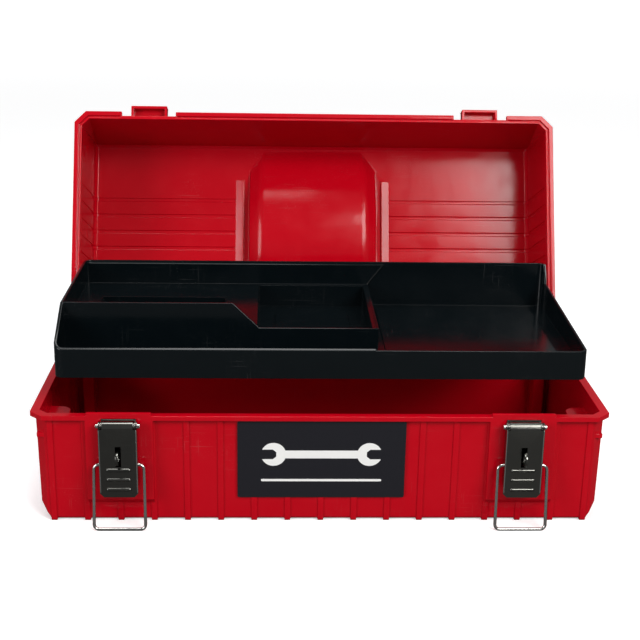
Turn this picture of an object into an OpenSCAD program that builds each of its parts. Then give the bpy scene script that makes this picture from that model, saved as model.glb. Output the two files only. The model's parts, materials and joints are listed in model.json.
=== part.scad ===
// Steel-latched plastic toolbox with a lift-out tray.
// Millimetres. X runs along the box, Y from front to back, Z up.
// The origin is the centre of the base's underside. The lid is drawn open, the tray lifted.

/* [Box] */
// Length at the rims
box_w = 368; // [340:1:420]
// Depth at the rims, front to back
box_d = 168; // [150:1:200]
// Height of the base, feet to rim
base_h = 74; // [66:1:100]
// Height of the lid, rim to top
lid_h = 69.5; // [66:0.5:80]
// Wall thickness of base and lid
wall = 2.5; // [2:0.1:3]
// 45 degree cut on the upright corners
corner_cut = 8.5; // [5:0.5:12]
// How far the rim flange stands out from the walls
rim_out = 3.3; // [2.5:0.1:4]
// Thickness of the rim flange
rim_t = 3.3; // [2:0.1:4]
// Gap between the closed rims
rim_gap = 0.2; // [0.1:0.1:0.6]
// How far the rib feet stand below the base's floor
foot_h = 1; // [0.6:0.1:2]

/* [Ribs] */
// Distance from rib to rib along the walls
rib_pitch = 21.4; // [18:0.1:24]
// Width of a wall rib
rib_w = 3.8; // [2:0.1:6]
// How far a wall rib stands out
rib_out = 0.9; // [0.5:0.1:1.5]
// Ribs on each side of the middle one, front and back
rib_half_count = 8; // [6:1:8]
// Distance between the lid's long ribs
lid_rib_pitch = 13.2; // [10:0.1:16]
// Width of a long lid rib
lid_rib_w = 3.4; // [2:0.1:5]
// Height of a long lid rib and depth of the groove inside it
lid_rib_out = 0.8; // [0.4:0.1:1.2]

/* [Hinges] */
// Angle from closed to fully open
lid_open = 113; // [100:1:115]
// Distance of each hinge from the middle
hinge_x = 115; // [90:1:130]
// Length of the lid's knuckle, in the middle of a hinge
lid_knuckle_w = 24; // [16:1:30]
// Length of each of the base's two knuckles
base_knuckle_w = 10; // [6:1:14]
// Outer radius of the knuckles
knuckle_r = 3.2; // [2.8:0.1:3.4]
// Radius of the hinge pins
hinge_pin_r = 1.5; // [1:0.1:2]

/* [Latches] */
// Distance of each latch from the middle
latch_x = 127.5; // [110:0.5:140]
// Height of the latch pin above the floor
latch_pin_z = 69.2; // [60:0.1:69.4]
// Radius of the latch pin
latch_pin_r = 1.5; // [1:0.1:1.7]
// Length of the latch pin
latch_pin_l = 27.5; // [25:0.5:29]
// Width of the lever
lever_w = 24; // [22:0.5:26]
// Length of the lever below its pin
lever_l = 46.8; // [40:0.1:52]
// Thickness of the latch's sheet steel
sheet = 0.8; // [0.6:0.1:1]
// Distance of the bail's pivots below the pin
bail_drop = 25.8; // [22:0.1:28]
// Radius of the bail's wire
wire_r = 1.05; // [0.8:0.05:1.3]
// Width between the middles of the bail's legs
bail_w = 32.5; // [31:0.5:36]

/* [Tray] */
// Length of the tray
tray_w = 338; // [300:1:344]
// Depth of the tray
tray_d = 142; // [120:1:144]
// Height of its front wall
tray_low = 19; // [14:0.5:20]
// Height of its back wall
tray_high = 39.5; // [34:0.5:40]
// Wall thickness of the tray
tray_wall = 1.8; // [1.5:0.1:2.2]
// How far its bottom is lifted above the rim
tray_lift = 19.7; // [10:0.1:25]
// How far its bottom sits below the rim when stored
tray_sunk = 12.7; // [8:0.1:16]

/* [Handle] */
// Depth of the handle recess in the lid
recess_depth = 20; // [18:0.5:22]
// Distance from the handle's pivots to its grip
handle_reach = 36; // [30:1:40]
// Radius of the grip
grip_r = 6.5; // [5:0.1:7]
// Radius of the handle's pins
handle_pin_r = 2; // [1.5:0.1:2.5]

/* [Hidden] */
$fn = 48;

// colours
red = [0.72, 0.02, 0.05];
black = [0.05, 0.06, 0.07];
steel = [0.72, 0.72, 0.70];

// clearances: a running fit, a free gap, and the overshoot of a cut
fit = 0.05;
gap = 0.3;
over = 1;
eps = 0.01;

// walls: draft is how far a face leans in over the full height
draft = 1.5;
lid_front_draft = 5;
lid_back_draft = 2;
half_w = box_w / 2;
half_d = box_d / 2;
wall_w = half_w - rim_out;
wall_d = half_d - rim_out;
lid_z = base_h + rim_gap;
lid_top = lid_z + lid_h;
low_edge = 1.5;
end_cut_x = 6.6;
end_cut_z = 11;
rib_root = 1.2;
foot_l = 5;
pad_foot = [40, 24];
end_ribs = 3;
ear_t = 1;

// hinge axis
hinge_y = half_d + 1;
hinge_z = base_h + rim_gap / 2;
knuckle_gap = 0.3;
web_in = rim_out + 0.5;

// latch pads on the base, notches and catches on the lid
pad_w = 42.5;
pad_low = 13;
pad_lip = 2;
pad_lip_t = 2.4;
notch_w = 41;
catch_w = 27.5;
catch_y = -half_d - 5.1;
catch_low = 2.4;
catch_high = 10.4;
catch_wall = 2;
catch_lip = 1.2;
catch_lip_t = 1.6;
catch_root = 2.1;

// latch: depths from the pad's face outwards
plate_t = 1;
plate_y = -half_d - plate_t;
plate_w = 21.8;
plate_low = 38;
plate_high = 72.5;
latch_y = plate_y - 3.4;
ear_r = 2.7;
barrel_r = 3;
barrel_w = 9.6;
lever_face = latch_y - barrel_r;
lever_back = latch_y + 2;
lever_top = latch_pin_z - 1;
lever_low = latch_pin_z - lever_l;
lever_cut = 2.5;
side_low = 5;
slot_w = 3.6;
slot_z = [43.1, 56.7];
louvre_l = 15.7;
louvre_r = 1.3;
louvre_z = [40.9, 34.3, 27.7];
staple_t = 1.6;
staple_z = [45.9, 54.7];
staple_tab = [7, 10];
padlock_y = lever_face - sheet - 3.6;
padlock_r = 2.2;
rivet_x = 6.5;
rivet_z = 58;
rivet_r = 1.6;
rivet_head_r = 2.7;
rivet_head_t = 1;

// bail: hung on the lever, hooked over the catch when the box is shut
pivot_y = -half_d - 5;
pivot_z = latch_pin_z - bail_drop;
hook_y = -half_d - 1;
hook_z = lid_z + catch_high + wire_r + 0.2;
bail_l = norm([hook_y - pivot_y, hook_z - pivot_z]);
bail_lean = acos((pivot_z - wire_r) / bail_l);
bail_bend = 3.5;
bail_in = lever_w / 2 - 2;

// tray
tray_z = base_h + tray_lift;
tray_r = 6;
tray_y = 2;
tray_floor = 7;
deck_h = 22.8;
divider_y = -37;
divider_end = -57.5;
bay_x = [-42, 34];
bay_back = 64;
bay_wall = 4;
right_rise = 26;
right_step = 62;
panel_h = 0.8;
pad_t = 1.4;
pad_end = [35.6, 48.6];
pocket = [[-151, 8], [-65, 33]];
pocket_d = 6;

// ledges inside the base that the tray rests on
ledge_z = base_h - tray_sunk - gap;
ledge_in = 14;
ledge_l = 46;
ledge_t = 3;
ledge_r = 8;
post_x = [164.4, 172];
post_y = 62;

// handle recess: round-bottomed, with flanks that follow the round
// (distance from the middle, drop below the face) of each edge of a flank
scoop_y = -2;
scoop_l = 67;
scoop_flank = [[39, 0], [51, 7.7], [52.2, 22]];
scoop_r = (scoop_l * scoop_l + recess_depth * recess_depth) / (2 * recess_depth);
wedge = [57, 62.5];
wedge_y = [-45, 40];
wedge_t = 1.6;
handle_y = scoop_y + handle_reach / 2;
handle_z = lid_top - 7;
handle_arm = [36, 42.5];
arm_r = 5;
boss_in = 43.2;
boss_out = 50;

// label
label_w = 107;
label_h = 53;
label_t = 0.6;
label_z = 43.6;

// ---------------------------------------------------------------- shared shapes

// rectangle with its corners cut at 45 degrees
module cut_rect(w, d, c) {
    polygon([
        [-w + c, -d], [w - c, -d], [w, -d + c], [w, d - c],
        [w - c, d], [-w + c, d], [-w, d - c], [-w, -d + c],
    ]);
}

// rectangle with round corners, from its size and corner radius
module round_rect(w, d, r) {
    square([w, d - 2 * r], center = true);
    square([w - 2 * r, d], center = true);
    for (x = [-1, 1], y = [-1, 1])
        translate([x * (w / 2 - r), y * (d / 2 - r)]) circle(r);
}

// profile in Y and Z, drawn out along X between two places
module along_x(x0, x1) {
    translate([x0, 0, 0]) rotate([90, 0, 90]) linear_extrude(x1 - x0) children();
}

// profile in X and Z, drawn out along Y between two places
module along_y(y0, y1) {
    translate([0, y1, 0]) rotate([90, 0, 0]) linear_extrude(y1 - y0) children();
}

// round bar along X
module bar_x(x0, x1, y, z, r) {
    translate([x0, y, z]) rotate([0, 90, 0]) cylinder(h = x1 - x0, r = r);
}

// box between two corners
module block(a, b) {
    translate(a) cube(b - a);
}

// Open tub, mouth up at z = h. Half sizes are at the mouth; each face leans in by its draft,
// and the closed end's edges are cut by cx, cz at the ends and by e at front and back.
module tub(w, d, h, dx, df, db, c, cx, cz, e, up = 0) {
    function end_x(z) = w - dx * (h - z) / h;
    function front_y(z) = -d + df * (h - z) / h;
    function back_y(z) = d - db * (h - z) / h;
    intersection() {
        along_y(-d, d) polygon([
            [-end_x(0) + cx, 0], [end_x(0) - cx, 0], [end_x(cz), cz], [w, h],
            [w, h + up], [-w, h + up], [-w, h], [-end_x(cz), cz],
        ]);
        along_x(-w, w) polygon([
            [front_y(0) + e, 0], [back_y(0) - e, 0], [back_y(e), e], [d, h],
            [d, h + up], [-d, h + up], [-d, h], [front_y(e), e],
        ]);
        linear_extrude(h + up) cut_rect(w, d, c);
    }
}

// ---------------------------------------------------------------- base

// where a drafted base wall's face is at height z, for a wall at distance half
function face_at(half, z) = -half + draft * (base_h - z) / (base_h - foot_h);

// one wall rib of the front, drawn for a wall at distance half, with a foot under the floor
module footed_rib(half) {
    h = base_h - rim_t + eps;
    along_x(-rib_w / 2, rib_w / 2) polygon([
        [face_at(half, h) - rib_out, h],
        [face_at(half, foot_h) - rib_out, foot_h + 1],
        [face_at(half, 0), 0],
        [face_at(half, 0) + foot_l, 0],
        [face_at(half, 0) + foot_l, foot_h + rib_root],
        [face_at(half, foot_h) + 2 * rib_root, foot_h + rib_root],
        [face_at(half, h) + rib_root, h],
    ]);
}

// one wall rib of an end, which follows the cut lower edge
module end_rib(half) {
    h = base_h - rim_t + eps;
    knee = foot_h + end_cut_z;
    along_x(-rib_w / 2, rib_w / 2) polygon([
        [face_at(half, h) - rib_out, h],
        [face_at(half, knee) - rib_out, knee],
        [face_at(half, foot_h) + end_cut_x - rib_out, foot_h],
        [face_at(half, foot_h) + end_cut_x + rib_root, foot_h],
        [face_at(half, knee) + rib_root, knee],
        [face_at(half, h) + rib_root, h],
    ]);
}

// flat pad that a latch is riveted to, flush with the rim, with a lip above the rim;
// the middle rib carries on below it
module latch_pad() {
    along_x(-pad_w / 2, pad_w / 2) polygon([
        [-half_d, base_h], [-half_d, pad_low + 4], [face_at(wall_d, pad_low), pad_low],
        [face_at(wall_d, pad_low) + rib_root, pad_low], [-wall_d + rib_root, base_h],
    ]);
    block(
        [-notch_w / 2 + gap, -half_d, base_h - 1],
        [notch_w / 2 - gap, -half_d + pad_lip_t, base_h + pad_lip]
    );
}

// ledge on an end wall near the front corner, with a gusset below it
module front_ledge() {
    x_in = wall_w - wall - ledge_in;
    x_out = wall_w - 1;
    y_in = -wall_d + 1;
    translate([0, 0, ledge_z - ledge_t]) linear_extrude(ledge_t) {
        translate([x_in, y_in]) square([x_out - x_in, ledge_l - ledge_r]);
        translate([x_in + ledge_r, y_in]) square([x_out - x_in - ledge_r, ledge_l]);
        translate([x_in + ledge_r, y_in + ledge_l - ledge_r]) circle(ledge_r);
    }
    along_y(y_in + ledge_l - ledge_r - 2, y_in + ledge_l - ledge_r) polygon([
        [x_in + 2, ledge_z - 1], [x_out, ledge_z - 1], [x_out, ledge_z - 3 * ledge_in / 2],
    ]);
}

// post in a back corner, as high as the ledges
module back_post() {
    block([post_x[0], post_y, foot_h + 1], [post_x[1], wall_d - 1, ledge_z]);
}

module base_shell() {
    tub_h = base_h - foot_h;
    color(red) difference() {
        union() {
            difference() {
                union() {
                    translate([0, 0, foot_h])
                        tub(wall_w, wall_d, tub_h, draft, draft, draft,
                            corner_cut - rim_out / 2, end_cut_x, end_cut_z, low_edge);
                    translate([0, 0, base_h - rim_t]) linear_extrude(rim_t)
                        cut_rect(half_w, half_d, corner_cut);
                    for (k = [-rib_half_count:rib_half_count]) {
                        translate([k * rib_pitch, 0, 0]) footed_rib(wall_d);
                        translate([k * rib_pitch, 0, 0]) mirror([0, 1, 0]) footed_rib(wall_d);
                    }
                    for (side = [-90, 90], k = [-end_ribs:end_ribs])
                        rotate([0, 0, side]) translate([k * rib_pitch, 0, 0]) end_rib(wall_w);
                    for (s = [-1, 1])
                        translate([s * latch_x, 0, 0]) latch_pad();
                }
                for (s = [-1, 1]) knuckle_slot(s * hinge_x, lid_knuckle_w / 2, base_h - rim_t);
                translate([0, 0, foot_h + wall])
                    tub(wall_w - wall, wall_d - wall, tub_h - wall, draft, draft, draft,
                        corner_cut - rim_out / 2 - wall / 2, end_cut_x, end_cut_z, low_edge, over);
            }
            for (s = [0, 1]) mirror([s, 0, 0]) {
                front_ledge();
                back_post();
            }
            translate([-pad_foot[0] / 2, -pad_foot[1] / 2, 0]) cube([pad_foot[0], pad_foot[1], foot_h + 1]);
            for (s = [-1, 1], k = [-1, 1])
                translate([s * hinge_x + k * (lid_knuckle_w + base_knuckle_w + 2 * knuckle_gap) / 2, 0, 0])
                    knuckle(base_knuckle_w, hinge_z - knuckle_r, base_h);
        }
        for (s = [-1, 1]) {
            hinge_bore(s);
            for (k = [-1, 1])
                rivet_hole(s * latch_x + k * rivet_x);
        }
    }
}

// ---------------------------------------------------------------- hinges

// slot that a flange needs so that the other part's knuckles can turn in it
module knuckle_slot(x, half, z) {
    block([x - half - knuckle_gap, hinge_y - knuckle_r - knuckle_gap, z - over],
        [x + half + knuckle_gap, half_d + over, z + rim_t + over]);
}

// one knuckle with the web that joins it to a rim between two heights
module knuckle(w, z0, z1) {
    bar_x(-w / 2, w / 2, hinge_y, hinge_z, knuckle_r);
    block([-w / 2, half_d - web_in, z0], [w / 2, hinge_y, z1]);
}

module hinge_bore(side) {
    half = (lid_knuckle_w + 2 * base_knuckle_w + 4 * knuckle_gap) / 2;
    bar_x(side * hinge_x - half, side * hinge_x + half, hinge_y, hinge_z, hinge_pin_r + fit);
}

module hinge_pin(side) {
    half = (lid_knuckle_w + 2 * base_knuckle_w + 2 * knuckle_gap) / 2;
    color(steel) bar_x(side * hinge_x - half, side * hinge_x + half, hinge_y, hinge_z, hinge_pin_r);
}

// ---------------------------------------------------------------- lid, drawn shut and then opened

module opened() {
    translate([0, hinge_y, hinge_z]) rotate([-lid_open, 0, 0]) translate([0, -hinge_y, -hinge_z]) children();
}

// Block of the handle recess, turned about an axis far above the lid.
// inset shrinks it, up lifts its mouth.
module scoop(inset, up) {
    r = scoop_r - inset;
    side = 0.9 * inset;
    end = scoop_flank[2];
    intersection() {
        translate([0, scoop_y, lid_top - wall - recess_depth + scoop_r]) rotate([0, 90, 0])
            rotate_extrude($fn = 160) polygon(concat(
                [[0, side - end[0]]],
                [for (i = [2:-1:0]) [r - scoop_flank[i][1], side - scoop_flank[i][0]]],
                [for (i = [0:2]) [r - scoop_flank[i][1], scoop_flank[i][0] - side]],
                [[0, end[0] - side]]
            ));
        block([-half_w, -half_d, lid_z], [half_w, half_d, lid_top + up]);
    }
}

// low wedge that ends the ribs beside the recess
module rib_wedge() {
    z = lid_top - wall;
    along_y(wedge_y[0], wedge_y[1])
        polygon([
            [wedge[0], z - wedge_t],
            [wedge[1], z + eps],
            [wedge[0] - 1, z + eps],
            [wedge[0] - 1, z - wedge_t],
        ]);
}

// long rib or groove, over the top and down both ends, between the recess and the end walls
module long_rib(y, w, sunk) {
    x_in = wedge[1];
    for (s = [0, 1]) mirror([s, 0, 0]) along_y(y - w / 2, y + w / 2) polygon([
        [x_in, lid_top - sunk],
        [wall_w - draft - 3 - sunk, lid_top - sunk],
        [wall_w - draft - sunk, lid_top - 3 - sunk],
        [wall_w - sunk - 0.4, lid_z + rim_t + 4],
        [wall_w - sunk - 2.2, lid_z + rim_t + 4],
        [wall_w - draft - sunk - 2, lid_top - 3 - sunk],
        [wall_w - draft - 4 - sunk, lid_top - 1.8 - sunk],
        [x_in, lid_top - 1.8 - sunk],
    ]);
}

// hollow catch that the bail hooks over, open towards the rim
module catch() {
    difference() {
        union() {
            block(
                [-catch_w / 2, catch_y, lid_z + catch_low],
                [catch_w / 2, -wall_d + catch_root, lid_z + catch_high]
            );
            block([-catch_w / 2, catch_y, lid_z + catch_low],
                [catch_w / 2, catch_y + catch_lip_t, lid_z + catch_high + catch_lip]);
        }
        block([-catch_w / 2 + catch_wall, catch_y + catch_wall, lid_z],
            [catch_w / 2 - catch_wall, -wall_d, lid_z + catch_high - catch_wall]);
    }
}

module lid_closed() {
    difference() {
        union() {
            difference() {
                union() {
                    translate([0, 0, lid_top]) mirror([0, 0, 1])
                        tub(wall_w, wall_d, lid_h, draft, lid_front_draft, lid_back_draft,
                            corner_cut - rim_out / 2, 3, 3, 3);
                    difference() {
                        translate([0, 0, lid_z]) linear_extrude(rim_t) cut_rect(half_w, half_d, corner_cut);
                        for (s = [-1, 1]) translate([s * latch_x, 0, 0])
                            block([-notch_w / 2, -half_d - over, lid_z - over],
                                [notch_w / 2, -wall_d, lid_z + rim_t + over]);
                        for (s = [-1, 1])
                            knuckle_slot(
                                s * hinge_x,
                                lid_knuckle_w / 2 + base_knuckle_w + knuckle_gap,
                                lid_z
                            );
                    }
                    for (k = [-2:2]) long_rib(scoop_y + k * lid_rib_pitch, lid_rib_w, -lid_rib_out);
                }
                translate([0, 0, lid_top - wall]) mirror([0, 0, 1])
                    tub(wall_w - wall, wall_d - wall, lid_h - wall, draft, lid_front_draft, lid_back_draft,
                        corner_cut - rim_out / 2 - wall / 2, 2, 2, 2, over);
                for (k = [-2:2]) long_rib(scoop_y + k * lid_rib_pitch, lid_rib_w - 0.8, wall - lid_rib_out);
            }
            scoop(0, 0);
            for (s = [0, 1]) mirror([s, 0, 0]) rib_wedge();
            for (s = [-1, 1]) {
                translate([s * latch_x, 0, 0]) catch();
                translate([s * hinge_x, 0, 0]) knuckle(lid_knuckle_w, lid_z, hinge_z + knuckle_r);
            }
        }
        difference() {
            scoop(wall, over);
            for (s = [0, 1]) mirror([s, 0, 0]) bar_x(boss_in, boss_out + 2, handle_y, handle_z, arm_r);
        }
        for (s = [-1, 1]) hinge_bore(s);
        for (s = [0, 1]) mirror([s, 0, 0])
            bar_x(boss_in - over, boss_out, handle_y, handle_z, handle_pin_r + fit);
        rim_groove();
    }
}

// groove round the lid's rim face
module rim_groove() {
    translate([0, 0, lid_z - eps]) linear_extrude(1.2) difference() {
        cut_rect(wall_w, wall_d, corner_cut - rim_out / 2);
        cut_rect(wall_w - 1.2, wall_d - 1.2, corner_cut - rim_out / 2 - 0.6);
        for (s = [-1, 1]) translate([s * latch_x - notch_w / 2 - 1, -wall_d - 1]) square([notch_w + 2, 3]);
    }
}

module lid_shell() {
    color(red) opened() lid_closed();
}

// ---------------------------------------------------------------- handle

module carry_handle() {
    color(black) opened() difference() {
        union() {
            bar_x(-handle_arm[1], handle_arm[1], handle_y - handle_reach, handle_z, grip_r);
            for (s = [0, 1]) mirror([s, 0, 0]) along_x(handle_arm[0], handle_arm[1]) {
                translate([handle_y, handle_z]) circle(arm_r);
                translate([handle_y - handle_reach, handle_z - arm_r]) square([handle_reach, 2 * arm_r]);
            }
        }
        bar_x(-half_w, half_w, handle_y, handle_z, handle_pin_r + fit);
    }
}

module handle_pin(side) {
    color(steel) opened() mirror([side < 0 ? 1 : 0, 0, 0])
        bar_x(handle_arm[0] + 0.2, boss_out - 0.2, handle_y, handle_z, handle_pin_r);
}

// ---------------------------------------------------------------- latches, each drawn about x = 0

module at_latch(side) {
    translate([side * latch_x, 0, 0]) children();
}

module rivet_hole(x) {
    translate([x, -half_d - over - plate_t, rivet_z])
        rotate([-90, 0, 0]) cylinder(h = 12, r = rivet_r + fit);
}

module latch_bracket(side) {
    color(steel) at_latch(side) difference() {
        union() {
            block([-plate_w / 2, plate_y, plate_low], [plate_w / 2, -half_d, plate_high]);
            for (s = [0, 1]) mirror([s, 0, 0]) along_x(plate_w / 2 - ear_t, plate_w / 2) {
                translate([latch_y, latch_pin_z]) circle(ear_r);
                translate([latch_y, latch_pin_z - ear_r]) square([plate_y - latch_y + eps, ear_r + 2]);
            }
        }
        bar_x(-plate_w, plate_w, latch_y, latch_pin_z, latch_pin_r + fit);
        for (k = [-1, 1]) rivet_hole(k * rivet_x);
    }
}

module latch_pin(side) {
    color(steel) at_latch(side) bar_x(-latch_pin_l / 2, latch_pin_l / 2, latch_y, latch_pin_z, latch_pin_r);
}

module latch_rivets(side) {
    inner = face_at(wall_d - wall, rivet_z) + 0.15;
    color(steel) at_latch(side) for (k = [-1, 1]) translate([k * rivet_x, 0, rivet_z]) rotate([-90, 0, 0]) {
        translate([0, 0, plate_y - rivet_head_t]) cylinder(h = rivet_head_t, r = rivet_head_r);
        translate([0, 0, plate_y - rivet_head_t])
            cylinder(h = inner - plate_y + 2 * rivet_head_t, r = rivet_r);
        translate([0, 0, inner]) cylinder(h = rivet_head_t, r = rivet_head_r);
    }
}

module padlock_staple(side) {
    mid_z = (staple_z[0] + staple_z[1]) / 2;
    tip_r = (staple_z[1] - staple_z[0]) / 2;
    color(steel) at_latch(side) difference() {
        union() {
            block([-staple_tab[0] / 2, plate_y - sheet, mid_z - staple_tab[1] / 2],
                [staple_tab[0] / 2, plate_y, mid_z + staple_tab[1] / 2]);
            along_x(-staple_t / 2, staple_t / 2) {
                translate([padlock_y, mid_z]) circle(tip_r);
                translate([padlock_y, staple_z[0]]) square([plate_y - padlock_y, 2 * tip_r]);
            }
        }
        bar_x(-staple_t, staple_t, padlock_y, mid_z, padlock_r);
    }
}

module latch_lever(side) {
    half = lever_w / 2;
    color(steel) at_latch(side) difference() {
        union() {
            along_y(lever_face - sheet, lever_face) polygon([
                [-half, lever_top], [-half, lever_low + lever_cut], [-half + lever_cut, lever_low],
                [half - lever_cut, lever_low], [half, lever_low + lever_cut], [half, lever_top],
            ]);
            for (s = [0, 1]) mirror([s, 0, 0]) along_x(half - sheet, half) {
                translate([latch_y, latch_pin_z]) circle(barrel_r);
                polygon([
                    [lever_face - sheet, lever_top], [lever_face - sheet, lever_low + side_low],
                    [lever_back, lever_low + side_low + 4], [lever_back, latch_pin_z - 2.2],
                    [latch_y, latch_pin_z],
                ]);
            }
            bar_x(-barrel_w, barrel_w, latch_y, latch_pin_z, barrel_r);
            along_x(-barrel_w, barrel_w) polygon([
                [lever_face - sheet, lever_top - 3], [lever_face - sheet, lever_top],
                [latch_y - 2.1, latch_pin_z + 2.4], [latch_y, latch_pin_z], [lever_face, lever_top - 3],
            ]);
            for (z = louvre_z) translate([0, lever_face - sheet / 2, z]) {
                bar_x(-louvre_l / 2 + louvre_r, louvre_l / 2 - louvre_r, 0, 0, louvre_r);
                for (k = [-1, 1]) translate([k * (louvre_l / 2 - louvre_r), 0, 0]) sphere(louvre_r);
            }
        }
        block(
            [-half + sheet, lever_face, lever_low],
            [half - sheet, lever_face + 2 * louvre_r, lever_top - 4]
        );
        block([-slot_w / 2, lever_face - 2, slot_z[0]], [slot_w / 2, lever_face + 1, slot_z[1]]);
        bar_x(-lever_w, lever_w, latch_y, latch_pin_z, latch_pin_r + fit);
        bar_x(-lever_w, lever_w, pivot_y, pivot_z, wire_r + fit);
    }
}

module bail(side) {
    leg_x = bail_w / 2;
    color(steel) at_latch(side) translate([0, pivot_y, pivot_z]) rotate([-bail_lean, 0, 0]) {
        for (s = [0, 1]) mirror([s, 0, 0]) {
            bar_x(bail_in, leg_x, 0, 0, wire_r);
            translate([leg_x, 0, 0]) sphere(wire_r);
            translate([leg_x, 0, -bail_l + bail_bend]) cylinder(h = bail_l - bail_bend, r = wire_r);
            translate([leg_x - bail_bend, 0, -bail_l + bail_bend]) rotate([-90, 0, 0])
                rotate_extrude(angle = 90) translate([bail_bend, 0]) circle(wire_r);
        }
        bar_x(-leg_x + bail_bend, leg_x - bail_bend, 0, -bail_l, wire_r);
    }
}

// ---------------------------------------------------------------- tray

// solid that the tray wall's height follows: tall behind the divider on the left, low on the right
module tray_heights() {
    f = -tray_d / 2;
    b = tray_d / 2;
    along_x(-tray_w / 2, bay_x[1])
        polygon([[f, 0], [b, 0], [b, tray_high], [divider_y, tray_high], [f, tray_low]]);
    along_x(bay_x[1] - eps, tray_w / 2) polygon([
        [f, 0], [b, 0], [b, tray_high], [right_step + 5, tray_high], [right_step, right_rise], [f, tray_low],
    ]);
}

// the part of the tray whose floor is raised: behind the divider, and a strip behind the bay
module deck_plan() {
    translate([-tray_w / 2, divider_y]) square([bay_x[0] + tray_w / 2, tray_d / 2 - divider_y]);
    translate([bay_x[0] - eps, bay_back])
        square([bay_x[1] + bay_wall - bay_x[0] + eps, tray_d / 2 - bay_back]);
}

// floor plate inside the tray's outline
module floor_plan() {
    round_rect(tray_w - tray_wall, tray_d - tray_wall, tray_r - tray_wall / 2);
}

module tray_body() {
    t = tray_wall;
    w = tray_w / 2;
    d = tray_d / 2;
    under = tray_floor - t;
    bay_end = bay_x[1] + bay_wall;
    // outer wall
    intersection() {
        difference() {
            linear_extrude(tray_high) round_rect(tray_w, tray_d, tray_r);
            translate([0, 0, -over])
                linear_extrude(tray_high + 2 * over) round_rect(tray_w - 2 * t, tray_d - 2 * t, tray_r - t);
        }
        tray_heights();
    }
    // low floor and raised deck, with a long pocket in the deck
    translate([0, 0, under]) linear_extrude(t) difference() {
        floor_plan();
        deck_plan();
    }
    difference() {
        union() {
            translate([0, 0, deck_h - t]) linear_extrude(t) intersection() {
                floor_plan();
                deck_plan();
            }
            block([pocket[0][0] - t, pocket[0][1] - t, deck_h - pocket_d - t],
                [pocket[1][0] + t, pocket[1][1] + t, deck_h - eps]);
        }
        block([pocket[0][0], pocket[0][1], deck_h - pocket_d], [pocket[1][0], pocket[1][1], deck_h + over]);
    }
    // long divider, sloped down to the bay's front wall
    along_y(divider_y, divider_y + t) polygon([
        [-w + t / 2, under], [bay_end, under], [bay_end, deck_h], [bay_x[0] + t, deck_h],
        [divider_end, tray_high], [-w + t / 2, tray_high],
    ]);
    // the bay's sides and back, and the end of the strip behind it
    block([bay_x[0] - t, divider_y, under], [bay_x[0], bay_back + t, deck_h]);
    block([bay_x[1], divider_y, under], [bay_end, bay_back + t, deck_h]);
    block([bay_x[0] - t, bay_back, under], [bay_end, bay_back + t, deck_h]);
    block([bay_end - t, bay_back, under], [bay_end, d - t / 2, deck_h]);
    // pad on the back wall, cut slantwise at its right end
    along_y(d - t - pad_t, d - t / 2) polygon([
        [-w + t / 2, deck_h - t], [pad_end[0], deck_h - t],
        [pad_end[1], tray_high - t], [-w + t / 2, tray_high - t],
    ]);
    // raised floor panels
    block(
        [bay_x[0] + 12, divider_y + 10, tray_floor - eps],
        [bay_x[1] - 12, bay_back - 21, tray_floor + panel_h]
    );
    block([bay_end + 5, -d + 14, tray_floor - eps], [w - 12, bay_back - 5, tray_floor + panel_h]);
    // corner feet
    for (x = [-1, 1], y = [-1, 1])
        translate([x * (w - tray_r), y * (d - tray_r), 0]) cylinder(h = tray_floor, r = tray_r);
}

module tray() {
    color(black) translate([0, tray_y, tray_z]) tray_body();
}

// ---------------------------------------------------------------- label

module front_label() {
    lean = atan(draft / (base_h - foot_h));
    y = face_at(wall_d, label_z) - rib_out - 0.05;
    color(black) translate([0, y, label_z]) rotate([lean, 0, 0])
        translate([-label_w / 2, -label_t, -label_h / 2]) cube([label_w, label_t, label_h]);
}

base_shell();
lid_shell();
tray();
front_label();
hinge_pin(-1);  // hinge_pin_left
hinge_pin(1);  // hinge_pin_right
latch_bracket(-1);  // latch_bracket_left
latch_bracket(1);  // latch_bracket_right
latch_rivets(-1);  // latch_rivets_left
latch_rivets(1);  // latch_rivets_right
padlock_staple(-1);  // padlock_staple_left
padlock_staple(1);  // padlock_staple_right
latch_pin(-1);  // latch_pin_left
latch_pin(1);  // latch_pin_right
latch_lever(-1);  // latch_lever_left
latch_lever(1);  // latch_lever_right
bail(-1);  // bail_left
bail(1);  // bail_right
carry_handle();
handle_pin(-1);  // handle_pin_left
handle_pin(1);  // handle_pin_right
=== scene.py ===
"""Looks of a steel-latched toolbox with a lift-out tray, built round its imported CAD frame.

Run as a script. Lengths are metres, in the frame's own axes: X along the box, Y to the back, Z up.
"""

import json
import math

import bpy
import numpy as np
from mathutils import Matrix, Vector


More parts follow.
